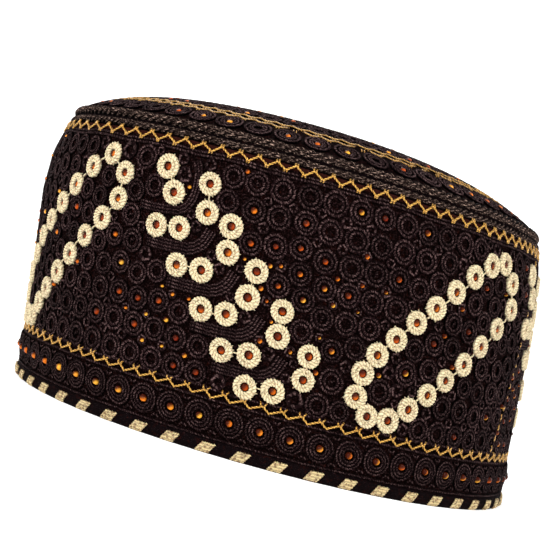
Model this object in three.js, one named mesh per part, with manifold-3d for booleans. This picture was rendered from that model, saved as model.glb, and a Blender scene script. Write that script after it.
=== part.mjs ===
// A round, stiff skullcap of black embroidered cloth: an upright wall, a low domed crown, a corded seam
// between them, a border and a striped binding at the foot, and raised rings of cream thread on the wall.
// Millimetres, +Z up. The rim lies on the plane z = 0, the front of the cap faces -Y and +X is to its right.
import * as THREE from "three";
import { mergeVertices } from "three/addons/utils/BufferGeometryUtils.js";
import Module from "manifold-3d";

const wasm = await Module();
wasm.setup();

// Driving dimensions in millimetres.
const capRadius = 92;
const clothThickness = 2.7;
const gap = 0.3;
const sides = 40;
const seamHeight = 94.5;
const crownRise = 15.7;
const crownFullness = 3.8;
const crownLean = -9;
const cordRadius = 1.6;

// The cream rings: outer radius, height, radius of the crest, depth of the dish that holds the stone.
const ringRadius = 3.9;
const ringHeight = 1.5;
const ringCrest = 2.9;
const ringDish = 0.7;
const ringSides = 6;
const stitchWidth = 1.2;
const stitchHeight = 0.9;
const stitchInset = 0.9;

// Outer outlines of the three bands of cloth, from the rim up.
const bindingOutline = [
  { height: 0, radius: 90.8 },
  { height: 0.7, radius: 91.5 },
  { height: 3.4, radius: 91.5 },
  { height: 4.2, radius: 90.7 },
];
const borderOutline = [
  { height: 4.5, radius: 91.0 },
  { height: 5.3, radius: 91.7 },
  { height: 6.3, radius: 91.1 },
  { height: 10.5, radius: 92.2 },
  { height: 14.5, radius: 91.9 },
  { height: 16.9, radius: 91.1 },
];
const wallOutline = [
  { height: 17.2, radius: 91.2 },
  { height: 40, radius: 91.9 },
  { height: 66, radius: 92.0 },
  { height: 81, radius: 91.4 },
  { height: 90, radius: 90.1 },
];
const weltOutline = [
  { height: 90.3, radius: 89.6 },
  { height: 91.6, radius: 89.9 },
  { height: 92.8, radius: 89.0 },
];
const weltInnerRadius = 86.6;
const rimInnerRadius = 88.3;

// Radius of the crown panel's edge, and the shares of the seam radius where its section has a corner.
const crownEdgeRadius = 85.8;
const crownEdgeHeight = 93.2;
const crownStations = [0.92, 0.86, 0.76, 0.62, 0.42];

// Ring centres on the wall: along is the arc from the front towards +X, up is the height above the rim.
const rightLoop = [
  { along: 65.6, up: 73.2 },
  { along: 58.2, up: 66.8 },
  { along: 51.2, up: 60.3 },
  { along: 44.8, up: 54.3 },
  { along: 38.7, up: 47.8 },
  { along: 33.2, up: 41.7 },
  { along: 29.5, up: 35.3 },
  { along: 28.6, up: 28.0 },
  { along: 33.4, up: 23.0 },
  { along: 40.8, up: 23.2 },
  { along: 47.3, up: 27.9 },
  { along: 53.6, up: 33.6 },
  { along: 60.0, up: 39.3 },
  { along: 67.0, up: 45.6 },
  { along: 74.1, up: 52.5 },
  { along: 81.8, up: 59.4 },
  { along: 89.4, up: 66.9 },
  { along: 87.7, up: 75.1 },
  { along: 81.3, up: 80.4 },
  { along: 73.4, up: 78.4 },
];
const leftLoop = [
  { along: -83.2, up: 68.8 },
  { along: -90.7, up: 62.0 },
  { along: -98.5, up: 55.6 },
  { along: -105.4, up: 49.7 },
  { along: -111.4, up: 43.0 },
  { along: -116.6, up: 36.4 },
  { along: -119.6, up: 29.0 },
  { along: -117.2, up: 22.2 },
  { along: -110.9, up: 21.9 },
  { along: -104.4, up: 22.4 },
  { along: -99.0, up: 27.6 },
  { along: -93.4, up: 33.2 },
  { along: -86.5, up: 39.6 },
  { along: -79.6, up: 46.4 },
  { along: -72.6, up: 53.4 },
  { along: -65.4, up: 60.2 },
  { along: -59.6, up: 67.3 },
  { along: -58.9, up: 75.6 },
  { along: -66.4, up: 80.8 },
  { along: -75.0, up: 75.6 },
];
const scrollPairs = [
  { along: -42.5, up: 80.5, nextAlong: -38.6, nextUp: 73.1 },
  { along: -42.6, up: 62.2, nextAlong: -34.5, nextUp: 63.0 },
  { along: -27.0, up: 78.2, nextAlong: -26.2, nextUp: 69.6 },
  { along: -33.2, up: 52.0, nextAlong: -24.9, nextUp: 52.4 },
  { along: -17.9, up: 67.4, nextAlong: -17.6, nextUp: 59.6 },
  { along: -22.9, up: 41.1, nextAlong: -14.9, nextUp: 41.7 },
  { along: -7.9, up: 56.4, nextAlong: -9.2, nextUp: 48.2 },
  { along: -14.5, up: 30.9, nextAlong: -5.9, nextUp: 31.7 },
  { along: 1.8, up: 46.9, nextAlong: 1.7, nextUp: 39.4 },
  { along: -5.5, up: 22.2, nextAlong: 3.0, nextUp: 23.2 },
  { along: 12.0, up: 36.0, nextAlong: 11.5, nextUp: 28.8 },
];

// Each motif comes four times round the wall, turned by these degrees about +Z.
const loopCopies = [
  { name: "ring_loop_front_right", rings: rightLoop, turn: 0 },
  { name: "ring_loop_back_right", rings: rightLoop, turn: 89.5 },
  { name: "ring_loop_back_left", rings: rightLoop, turn: 179 },
  { name: "ring_loop_front_left", rings: leftLoop, turn: 0 },
];
const scrollCopies = [
  { name: "front", turn: 0 },
  { name: "right", turn: 93 },
  { name: "back", turn: 182 },
  { name: "left", turn: 271 },
];

const clothLook = { color: 0x17101a, roughness: 0.85, metalness: 0 };
const cordLook = { color: 0x1d1518, roughness: 0.6, metalness: 0 };
const bindingLook = { color: 0x120d10, roughness: 0.45, metalness: 0 };
const creamLook = { color: 0xe8dcae, roughness: 0.7, metalness: 0 };

// A solid of revolution about +Z from a closed outline.
function revolved(outline, count = sides) {
  const points = outline.map(({ radius, height }) => new THREE.Vector2(radius, height));
  const geometry = new THREE.LatheGeometry(points, count);
  geometry.rotateX(Math.PI / 2);
  return geometry;
}

// A band of cloth: its outer outline, closed by an upright inner face.
function bandOf(outline, innerRadius) {
  const foot = { height: outline[0].height, radius: innerRadius };
  const top = { height: outline[outline.length - 1].height, radius: innerRadius };
  return revolved([...outline, top, foot, outline[0]]);
}

function rimBinding() {
  return bandOf(bindingOutline, rimInnerRadius);
}

function lowerBorder() {
  return bandOf(borderOutline, rimInnerRadius);
}

function sideWall() {
  const innerSide = wallOutline
    .filter((row, index) => index % 2 === 0)
    .map(({ height, radius }) => ({ height, radius: radius - clothThickness }))
    .reverse();
  return revolved([...wallOutline, ...innerSide, wallOutline[0]]);
}

function wallTopWelt() {
  return bandOf(weltOutline, weltInnerRadius);
}

// The corded seam: a round cord laid between the crown panel and the welt.
function crownPiping() {
  const cordSides = 6;
  const outline = [];
  for (let i = 0; i <= cordSides; i++) {
    const angle = (i / cordSides) * Math.PI * 2;
    outline.push({
      radius: crownEdgeRadius + gap + cordRadius + cordRadius * Math.cos(angle),
      height: seamHeight + 0.2 + cordRadius * Math.sin(angle),
    });
  }
  return revolved(outline);
}

// Height of the crown's outer surface at a share of the seam radius.
function crownHeight(share) {
  return seamHeight + crownRise * (1 - share ** crownFullness);
}

function crownPanel() {
  const seamRadius = crownEdgeRadius + gap + 2 * cordRadius;
  const edgeShare = crownEdgeRadius / seamRadius;
  const outer = [edgeShare, ...crownStations].map((share) => ({
    radius: seamRadius * share,
    height: crownHeight(share),
  }));
  const inner = outer
    .filter((row, index) => index % 2 === 1)
    .map(({ radius, height }) => ({ radius: radius - 1, height: height - clothThickness }))
    .reverse();
  const foot = [
    { radius: crownEdgeRadius - clothThickness, height: crownEdgeHeight },
    { radius: crownEdgeRadius, height: crownEdgeHeight },
  ];
  const underside = { radius: 0, height: crownHeight(0) - clothThickness };
  const top = { radius: 0, height: crownHeight(0) };
  return revolved([underside, ...inner, ...foot, ...outer, top]);
}

// A geometry as a solid for joining, with its seams welded.
function solidOf(geometry) {
  const bare = geometry.clone();
  bare.deleteAttribute("normal");
  bare.deleteAttribute("uv");
  const welded = mergeVertices(bare, 1e-4);
  const mesh = new wasm.Mesh({
    numProp: 3,
    vertProperties: welded.attributes.position.array,
    triVerts: new Uint32Array(welded.index.array),
  });
  return new wasm.Manifold(mesh);
}

function geometryOf(solid) {
  const mesh = solid.getMesh();
  const geometry = new THREE.BufferGeometry();
  geometry.setAttribute("position", new THREE.BufferAttribute(mesh.vertProperties, 3));
  geometry.setIndex(new THREE.BufferAttribute(mesh.triVerts, 1));
  return geometry;
}

// One ring on a flat cloth: x runs along the wall, y up it and z out of it.
function flatRing({ along, up }) {
  const outline = [
    { radius: 0, height: 0 },
    { radius: ringRadius, height: 0 },
    { radius: ringCrest, height: ringHeight },
    { radius: 0, height: ringDish },
  ];
  return revolved(outline, ringSides).translate(along, up, 0);
}

// The threads that run on from one ring to the next.
function flatStitch(from, to) {
  const length = Math.hypot(to.along - from.along, to.up - from.up);
  const reach = length - 2 * (ringRadius - stitchInset);
  const stitch = new THREE.BoxGeometry(reach, stitchWidth, stitchHeight);
  stitch.translate(0, 0, stitchHeight / 2);
  stitch.rotateZ(Math.atan2(to.up - from.up, to.along - from.along));
  return stitch.translate((from.along + to.along) / 2, (from.up + to.up) / 2, 0);
}

// A chain of rings joined by their stitches; a closed chain joins its last ring to its first.
function flatChain(rings, closed) {
  const links = closed ? rings.length : rings.length - 1;
  let chain = rings.map((ring) => solidOf(flatRing(ring))).reduce((sum, ring) => sum.add(ring));
  for (let i = 0; i < links; i++) {
    chain = chain.add(solidOf(flatStitch(rings[i], rings[(i + 1) % rings.length])));
  }
  return geometryOf(chain);
}

// Outer radius of the wall at a height, read off its outline.
function wallRadius(height) {
  const upper = Math.max(1, wallOutline.findIndex((row) => row.height >= height));
  const low = wallOutline[upper - 1];
  const high = wallOutline[upper];
  return THREE.MathUtils.mapLinear(height, low.height, high.height, low.radius, high.radius);
}

// Bends a flat chain round the wall, clear of it by the gap.
function wrapped(flat, turn) {
  const position = flat.attributes.position;
  for (let i = 0; i < position.count; i++) {
    const angle = position.getX(i) / capRadius + THREE.MathUtils.degToRad(turn);
    const height = position.getY(i);
    const radius = wallRadius(height) + gap + position.getZ(i);
    position.setXYZ(i, radius * Math.sin(angle), -radius * Math.cos(angle), height);
  }
  return flat;
}

// The whole cap leans a little to its left, so each height is shifted in proportion to it.
const lean = new THREE.Matrix4().makeShear(0, 0, 0, 0, crownLean / seamHeight, 0);

function addPiece(cap, name, geometry, look) {
  const mesh = new THREE.Mesh(geometry.applyMatrix4(lean), new THREE.MeshStandardMaterial(look));
  mesh.name = name;
  cap.add(mesh);
}

const cap = new THREE.Group();
addPiece(cap, "rim_binding", rimBinding(), bindingLook);
addPiece(cap, "lower_border", lowerBorder(), clothLook);
addPiece(cap, "side_wall", sideWall(), clothLook);
addPiece(cap, "wall_top_welt", wallTopWelt(), cordLook);
addPiece(cap, "crown_piping", crownPiping(), cordLook);
addPiece(cap, "crown_panel", crownPanel(), clothLook);

for (const { name, rings, turn } of loopCopies) {
  addPiece(cap, name, wrapped(flatChain(rings, true), turn), creamLook);
}

for (const { name, turn } of scrollCopies) {
  scrollPairs.forEach(({ along, up, nextAlong, nextUp }, index) => {
    const rings = [{ along, up }, { along: nextAlong, up: nextUp }];
    const number = String(index + 1).padStart(2, "0");
    addPiece(cap, `ring_pair_${name}_${number}`, wrapped(flatChain(rings, false), turn), creamLook);
  });
}

// The origin is under the middle of the cap's own box.
const middle = new THREE.Box3().setFromObject(cap).getCenter(new THREE.Vector3());
cap.position.set(-middle.x, -middle.y, 0);

const part = new THREE.Group();
part.add(cap);

export default part;
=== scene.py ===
import math
from functools import partial

import bpy
import numpy as np
from bpy.props import FloatProperty, IntProperty, PointerProperty
from mathutils import Matrix, Vector


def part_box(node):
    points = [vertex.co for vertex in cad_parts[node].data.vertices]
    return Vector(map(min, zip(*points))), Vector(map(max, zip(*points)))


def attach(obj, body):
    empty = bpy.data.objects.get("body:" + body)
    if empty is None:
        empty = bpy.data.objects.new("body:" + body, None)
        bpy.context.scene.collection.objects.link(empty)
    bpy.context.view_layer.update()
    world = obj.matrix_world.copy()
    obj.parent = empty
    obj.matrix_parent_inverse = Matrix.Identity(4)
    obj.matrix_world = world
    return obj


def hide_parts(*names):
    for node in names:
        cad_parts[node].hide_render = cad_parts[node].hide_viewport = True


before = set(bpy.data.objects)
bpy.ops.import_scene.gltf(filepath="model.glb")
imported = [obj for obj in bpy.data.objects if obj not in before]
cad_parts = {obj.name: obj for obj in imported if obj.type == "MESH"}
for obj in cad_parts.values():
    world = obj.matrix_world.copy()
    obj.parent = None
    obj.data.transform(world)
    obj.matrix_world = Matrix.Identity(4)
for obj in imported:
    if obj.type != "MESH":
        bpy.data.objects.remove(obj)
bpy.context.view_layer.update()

bl_info = {
    "name": "Ring-embroidered skullcap",
    "version": (1, 0, 0),
    "blender": (4, 5, 0),
    "location": "3D View > Sidebar > Skullcap",
    "description": "Cloth, cords, rings, stones and seams of a stiff embroidered skullcap",
    "category": "Object",
}

MM = 0.001
TAU = 2 * math.pi

# The cap is drawn upright in millimetres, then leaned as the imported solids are.
CAP_RADIUS = 92.0
ROUND = TAU * CAP_RADIUS
SEAM_HEIGHT = 94.5
LEAN = -9.0 / SEAM_HEIGHT
rim_low, rim_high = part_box("rim_binding")
RIM_MIDDLE = (rim_low + rim_high) / 2 / MM
AXIS_X = RIM_MIDDLE.x - LEAN * RIM_MIDDLE.z
AXIS_Y = RIM_MIDDLE.y

# Outer outline of the cap's bands: height, radius.
OUTLINE = np.array([
    (0.0, 90.8), (0.7, 91.5), (3.4, 91.5), (4.2, 90.9), (5.3, 91.5), (6.3, 91.3), (10.5, 92.2), (14.5, 91.9),
    (16.9, 91.2), (20.0, 91.3), (40.0, 91.9), (66.0, 92.0), (81.0, 91.4), (90.0, 90.1), (94.0, 89.0),
])
CLOTH_SINK = 0.85
CROWN_EDGE = 89.3
CROWN_RISE = 15.7
CROWN_FULLNESS = 3.8

# The left side's small bulge and the sunken edge above it: height, offset of the radius.
SHOULDER = np.array([(0, 0), (35, 0.2), (66, 1.7), (78, 0.9), (88, -1.6), (94.5, -3.6), (112, -3.6)])
SHOULDER_TURN = -98
SHOULDER_WIDTH = 36

# Ring centres of the cream motifs: distance along the wall from the front, and height.
RIGHT_LOOP = [
    (65.6, 73.2), (58.2, 66.8), (51.2, 60.3), (44.8, 54.3), (38.7, 47.8), (33.2, 41.7), (29.5, 35.3),
    (28.6, 28.0), (33.4, 23.0), (40.8, 23.2), (47.3, 27.9), (53.6, 33.6), (60.0, 39.3), (67.0, 45.6),
    (74.1, 52.5), (81.8, 59.4), (89.4, 66.9), (87.7, 75.1), (81.3, 80.4), (73.4, 78.4),
]
LEFT_LOOP = [
    (-83.2, 68.8), (-90.7, 62.0), (-98.5, 55.6), (-105.4, 49.7), (-111.4, 43.0), (-116.6, 36.4),
    (-119.6, 29.0), (-117.2, 22.2), (-110.9, 21.9), (-104.4, 22.4), (-99.0, 27.6), (-93.4, 33.2),
    (-86.5, 39.6), (-79.6, 46.4), (-72.6, 53.4), (-65.4, 60.2), (-59.6, 67.3), (-58.9, 75.6),
    (-66.4, 80.8), (-75.0, 75.6),
]
SCROLL = [
    ((-42.5, 80.5), (-38.6, 73.1)), ((-42.6, 62.2), (-34.5, 63.0)), ((-27.0, 78.2), (-26.2, 69.6)),
    ((-33.2, 52.0), (-24.9, 52.4)), ((-17.9, 67.4), (-17.6, 59.6)), ((-22.9, 41.1), (-14.9, 41.7)),
    ((-7.9, 56.4), (-9.2, 48.2)), ((-14.5, 30.9), (-5.9, 31.7)), ((1.8, 46.9), (1.7, 39.4)),
    ((-5.5, 22.2), (3.0, 23.2)), ((12.0, 36.0), (11.5, 28.8)),
]
LOOPS = [("front_right", RIGHT_LOOP, 0.0), ("back_right", RIGHT_LOOP, 89.5),
         ("back_left", RIGHT_LOOP, 179.0), ("front_left", LEFT_LOOP, 0.0)]
SCROLLS = [("front", 0.0), ("right", 93.0), ("back", 182.0), ("left", 271.0)]

# The field of black rings: the heights of its rows, the reach of one ring, and how far its centre stays from
# another ring's, from a cream ring and from a cord.
FIELD_LOW, FIELD_HIGH, FIELD_ROWS = 22.4, 82.2, 8
RING_REACH = 3.8
RING_CLEARANCE = 7.7
CREAM_CLEARANCE = 7.5
CORD_CLEARANCE = 4.3

# Black cords: their height over the cloth, the step from one turn of a ring to the next, and a ring's lumps.
CORD_OUT = 0.34
TURN_STEP = 1.2
WALL_LUMPS, CROWN_LUMPS = 0.07, 0.14

# Lines of the border, the zigzags, the join and the stripes: heights, and where they start along the wall.
BORDER_MIDDLE, BORDER_START = 10.4, -74.6
UPPER_ZIGZAG, LOWER_ZIGZAG, ZIGZAG_STITCHES = 89.0, 17.3, 95
JOIN_ALONG = 95.0
STRIPE_START, STRIPE_THREADS = -74.0, 6

# The stage, in metres: each light's place, size and power, and the camera fitted to the photo.
LIGHTS = {
    "key_light": ((-0.9, -1.5, 1.5), 0.5, 26),
    "fill_light": ((1.4, -1.2, 0.9), 0.8, 10),
    "top_light": ((0.1, 0.2, 1.9), 0.9, 4),
    "back_light": ((-0.4, 1.7, 1.2), 0.9, 6),
}
LIGHTS_AIM = (0, 0, 0.05)
WORLD_STRENGTH = 0.12
CAMERA_PITCH, CAMERA_YAW, CAMERA_ROLL = (math.radians(value) for value in (-0.546, 0.915, 15.376))
CAMERA_AWAY, CAMERA_HEIGHT, CAMERA_LENS = 0.45832, 0.052295, 79.15


# Places on the cap.

def shoulder(points):
    turn = np.degrees(np.arctan2(points[:, 0], -points[:, 1])) - SHOULDER_TURN
    turn = (turn + 180) % 360 - 180
    share = np.minimum(np.hypot(points[:, 0], points[:, 1]) / 88, 1.0) ** 6
    return np.interp(points[:, 2], *SHOULDER.T) * share * np.exp(-(turn / SHOULDER_WIDTH) ** 2)


def lean(points):
    """Upright points with the dented shoulder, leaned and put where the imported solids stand."""
    out = np.array(points, float)
    out[:, :2] *= (1 + shoulder(out) / np.maximum(np.hypot(out[:, 0], out[:, 1]), 1.0))[:, None]
    out[:, 0] += AXIS_X + LEAN * out[:, 2]
    out[:, 1] += AXIS_Y
    return out


def upright(mesh):
    """A mesh's points in millimetres, with the lean and the place taken off."""
    points = np.empty(len(mesh.vertices) * 3)
    mesh.vertices.foreach_get("co", points)
    points = points.reshape(-1, 3) / MM
    points[:, 0] -= AXIS_X + LEAN * points[:, 2]
    points[:, 1] -= AXIS_Y
    return points


def cloth_radius(up):
    return np.interp(up, *OUTLINE.T) - CLOTH_SINK


def wrapped_round(along, radius, up):
    angle = along / CAP_RADIUS
    return lean(np.column_stack([radius * np.sin(angle), -radius * np.cos(angle), up]))


def on_wall(points):
    """Flat points (along, up, out) wrapped round the wall."""
    return wrapped_round(points[:, 0], cloth_radius(points[:, 1]) + points[:, 2], points[:, 1])


def crown_height(radius):
    share = np.clip(radius / CROWN_EDGE, 0, 1)
    return SEAM_HEIGHT + CROWN_RISE * (1 - share ** CROWN_FULLNESS) - CLOTH_SINK * 0.5


def on_crown(points):
    """Plan points (x, y, out) laid on the dome."""
    radius = np.hypot(points[:, 0], points[:, 1])
    share = np.clip(radius / CROWN_EDGE, 0, 1)
    slope = CROWN_RISE * CROWN_FULLNESS * share ** (CROWN_FULLNESS - 1) / CROWN_EDGE
    length = np.sqrt(1 + slope ** 2)
    push = points[:, 2] * slope / length / np.maximum(radius, 1e-6)
    return lean(np.column_stack([points[:, :2] * (1 + push)[:, None], crown_height(radius) + points[:, 2] / length]))


# Threads and rings as arrays.

def side_by_side(*columns):
    """Columns joined to rows, with a single number repeated down its column."""
    count = next(len(column) for column in columns if not np.isscalar(column))
    return np.column_stack([np.full(count, column) if np.isscalar(column) else column for column in columns])


def unit(steps):
    return steps / np.maximum(np.linalg.norm(steps, axis=1, keepdims=True), 1e-9)


def at_angle(far, angle, up):
    return far * math.cos(angle), far * math.sin(angle), up


def end_faces(first, sides, flip):
    """Quads that close one end of a tube with an even number of sides."""
    faces = [[first, first + i, first + i + 1, first + i + 2] for i in range(1, sides - 2, 2)]
    return [face[::-1] if flip else face for face in faces]


def ring_quads(spans, rings, sides):
    """Quads from each ring of points to the next, and from the last ring to the first."""
    row, column = np.arange(spans)[:, None], np.arange(sides)
    after, beside = (row + 1) % rings * sides, (column + 1) % sides
    row = row * sides
    return np.stack([row + column, after + column, after + beside, row + beside], axis=-1).reshape(-1, 4)


def tube(path, radius, sides=6, closed=False, squash=1.0):
    """A thread along a flat path: its points, quads and corner UVs (length, turn)."""
    path = np.asarray(path, float)
    count = len(path)
    fuller = (1 + 1 / math.cos(math.pi / sides)) / 2
    radius = (np.broadcast_to(np.asarray(radius, float), (count,)) * fuller)[:, None, None]
    ahead = unit(np.roll(path, -1, 0) - np.roll(path, 1, 0) if closed else np.gradient(path, axis=0))
    side = unit(side_by_side(ahead[:, 1], -ahead[:, 0], 0.0))
    lift = np.cross(side, ahead)
    step = np.arange(sides) + 0.5
    turn = (step / sides * TAU)[None, :, None]
    points = (path[:, None] + side[:, None] * (np.cos(turn) * radius)
              + lift[:, None] * (np.sin(turn) * radius * squash)).reshape(-1, 3)
    spans = count if closed else count - 1
    quads = ring_quads(spans, count, sides)
    length = np.concatenate([[0], np.cumsum(np.linalg.norm(np.roll(path, -1, 0) - path, axis=1)[:spans])])
    uv = np.empty((spans, sides, 4, 2))
    uv[..., 0] = np.stack([length[:-1], length[1:], length[1:], length[:-1]], axis=-1)[:, None]
    uv[..., 1] = np.stack([step, step, step + 1, step + 1], axis=-1) / sides
    uv = uv.reshape(-1, 4, 2)
    if not closed:
        caps = end_faces(0, sides, False) + end_faces((count - 1) * sides, sides, True)
        quads = np.vstack([quads, caps])
        uv = np.concatenate([uv, np.zeros((len(caps), 4, 2))])
    return points, quads, uv


def smooth_path(corners, step=1.0):
    """A rounded curve through a few corners (Catmull-Rom), as evenly spaced points."""
    corners = np.asarray(corners, float)
    padded = np.vstack([2 * corners[0] - corners[1], corners, 2 * corners[-1] - corners[-2]])
    share = np.linspace(0, 1, 13)[:-1, None]
    rows = []
    for a, b, c, d in zip(padded[:-3], padded[1:-2], padded[2:-1], padded[3:]):
        rows.append(0.5 * (2 * b + (c - a) * share + (2 * a - 5 * b + 4 * c - d) * share ** 2
                           + (3 * b - a - 3 * c + d) * share ** 3))
    points = np.vstack(rows + [corners[-1:]])
    length = np.concatenate([[0], np.cumsum(np.linalg.norm(np.diff(points, axis=0), axis=1))])
    even = np.linspace(0, length[-1], max(3, int(length[-1] / step) + 1))
    return np.column_stack([np.interp(even, length, points[:, i]) for i in range(points.shape[1])])


def offset_path(path, by):
    """The same flat path moved sideways, to its left, by a distance."""
    ahead = unit(np.gradient(path, axis=0))
    return path + np.column_stack([-ahead[:, 1], ahead[:, 0]]) * by


def cord_ring(radius, thickness, count, sides, out, lumps=0.0, squash=1.0):
    """A flat ring of cord, with a lump at every other point of its path."""
    turn = np.arange(count) / count * TAU
    path = side_by_side(radius * np.cos(turn), radius * np.sin(turn), out)
    return tube(path, thickness * (1 + lumps * np.cos(turn * (count // 2))), sides, closed=True, squash=squash)


def ring_cord(flat, radius, sides=4, squash=1.0):
    """A cord that goes once round the cap: its last point is the first one a full round further."""
    points, quads, uv = tube(np.vstack([flat, flat[:1] + [ROUND, 0, 0]]), radius, sides, squash=squash)
    count = len(flat) * sides
    return points[:count], quads[:count] % count, uv[:count]


def stone_shape(radius, height, sides=10):
    """A low domed stone with a small bored dimple in its top."""
    rows = [(1.0, -0.2), (1.0, 0.25), (0.86, 0.66), (0.58, 0.92), (0.26, 1.0), (0.14, 0.82)]
    turn = np.arange(sides) / sides * TAU
    points = np.vstack([side_by_side(radius * r * np.cos(turn), radius * r * np.sin(turn), height * h)
                        for r, h in rows])
    last = len(rows) - 1
    quads = np.vstack([ring_quads(last, len(rows), sides)[:, [0, 3, 2, 1]],
                       end_faces(0, sides, True) + end_faces(last * sides, sides, False)])
    return points, quads, points[quads][..., :2] / radius * 0.5 + 0.5


def new_object(name, data):
    made = bpy.data.objects.new(name, data)
    bpy.context.scene.collection.objects.link(made)
    return made


def settle(piece, slot, *nodes):
    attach(piece, "root")
    if nodes:
        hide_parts(*nodes)


class Threads:
    """Many small shapes gathered into one mesh."""

    def __init__(self):
        self.parts = [], [], [], []
        self.total = 0

    def gather(self, points, quads, uvs, tints):
        for kept, new in zip(self.parts, (points, quads + self.total, uvs, tints)):
            kept.append(new)
        self.total += len(points)

    def add(self, shape, tint=0.5):
        points, quads, uvs = shape
        self.gather(points, quads, uvs, np.full(len(points), tint))

    def stamp(self, shape, places, tints):
        """Copies a flat shape to places: rows of (along, up, out, turn, size)."""
        points, quads, uvs = shape
        along, up, out, turn, size = np.asarray(places, float).T[..., None]
        x = (points[:, 0] * np.cos(turn) - points[:, 1] * np.sin(turn)) * size + along
        y = (points[:, 0] * np.sin(turn) + points[:, 1] * np.cos(turn)) * size + up
        shift = np.arange(len(places))[:, None, None] * len(points)
        self.gather(np.stack([x, y, points[:, 2] + out], axis=-1).reshape(-1, 3), (quads + shift).reshape(-1, 4),
                    np.tile(uvs, (len(places), 1, 1)), np.repeat(np.asarray(tints, float), len(points)))

    def shape(self):
        return [np.concatenate(part) for part in self.parts[:3]]

    def piece(self, name, laid, finish, slot, *nodes):
        """One object of all that was gathered, laid on the wall or the crown and named to the frame."""
        points, quads, uvs = self.shape()
        points = laid(points) * MM
        mesh = bpy.data.meshes.new(name)
        mesh.vertices.add(len(points))
        mesh.vertices.foreach_set("co", points.astype(np.float32).ravel())
        mesh.loops.add(len(quads) * 4)
        mesh.loops.foreach_set("vertex_index", quads.astype(np.int32).ravel())
        mesh.polygons.add(len(quads))
        mesh.polygons.foreach_set("loop_start", np.arange(len(quads), dtype=np.int32) * 4)
        mesh.uv_layers.new(name="thread").uv.foreach_set("vector", uvs.astype(np.float32).ravel())
        tint = mesh.attributes.new("tint", "FLOAT", "POINT")
        tint.data.foreach_set("value", np.concatenate(self.parts[3]).astype(np.float32))
        mesh.update(calc_edges=True)
        mesh.validate()
        mesh.shade_smooth()
        mesh.materials.append(finish_named(finish))
        settle(new_object(name, mesh), slot, *nodes)


# Modelling with operators.

def edited_circle(name, sides, radius, fill="NOTHING", centre=(0, 0, 0)):
    """A new circle, open for editing with all its edges selected."""
    if bpy.context.mode != "OBJECT":
        bpy.ops.object.mode_set(mode="OBJECT")
    bpy.ops.object.select_all(action="DESELECT")
    bpy.ops.mesh.primitive_circle_add(vertices=sides, radius=radius, fill_type=fill, location=centre)
    made = bpy.context.object
    made.name = made.data.name = name
    bpy.ops.object.transform_apply(location=True, rotation=True, scale=True)
    bpy.ops.object.mode_set(mode="EDIT")
    bpy.ops.mesh.select_mode(type="EDGE")
    bpy.ops.mesh.select_all(action="SELECT")
    return made


def extrude_ring(move, grow=1.0, centre=(0, 0, 0)):
    bpy.ops.mesh.extrude_edges_move(TRANSFORM_OT_translate={"value": move})
    bpy.ops.transform.resize(value=(grow, grow, 1), center_override=centre)


def loop_centre(height):
    return Vector((AXIS_X + LEAN * height, AXIS_Y, height)) * MM


def turned_band(name, rows, sides=192, poles=False):
    """A circle extruded row by row (height, radius), then bridged shut to a ring, or its two ends filled."""
    band = edited_circle(name, sides, rows[0][1] * MM, centre=loop_centre(rows[0][0]))
    for (height, radius), (next_height, next_radius) in zip(rows, rows[1:]):
        centre = loop_centre(next_height)
        extrude_ring(centre - loop_centre(height), next_radius / radius, centre)
    bpy.ops.mesh.select_all(action="DESELECT")
    bpy.ops.mesh.select_non_manifold(use_wire=False, use_multi_face=False, use_non_contiguous=False,
                                     use_verts=False)
    if poles:
        bpy.ops.mesh.fill_holes(sides=sides)
    else:
        bpy.ops.mesh.bridge_edge_loops()
    bpy.ops.mesh.select_all(action="SELECT")
    bpy.ops.mesh.normals_make_consistent(inside=False)
    bpy.ops.object.mode_set(mode="OBJECT")
    bpy.ops.object.shade_smooth_by_angle(angle=math.radians(40))
    band.data.vertices.foreach_set("co", (lean(upright(band.data)) * MM).ravel())
    band.data.update()
    return band


def dress_band(band, laid, slot, nodes, *finishes):
    """UVs in centimetres, along and up the wall or plan x and y on the crown, and the band's finishes."""
    mesh = band.data
    corners = np.empty(len(mesh.loops), np.int32)
    mesh.loops.foreach_get("vertex_index", corners)
    place = upright(mesh)[corners]
    x, y, z = place.T
    if laid == "wall":
        sizes = np.empty(len(mesh.polygons), np.int32)
        mesh.polygons.foreach_get("loop_total", sizes)
        middle = np.add.reduceat(place, np.cumsum(sizes) - sizes)
        base = np.repeat(np.arctan2(middle[:, 0], -middle[:, 1]), sizes)
        angle = np.arctan2(x, -y)
        angle += TAU * np.round((base - angle) / TAU)
        x, y = angle * CAP_RADIUS, z
    mesh.uv_layers[0].uv.foreach_set("vector", (np.column_stack([x, y]) / 10).astype(np.float32).ravel())
    for finish in finishes:
        mesh.materials.append(finish_named(finish))
    settle(band, slot, *nodes)


# Shared effects and finishes.

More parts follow.
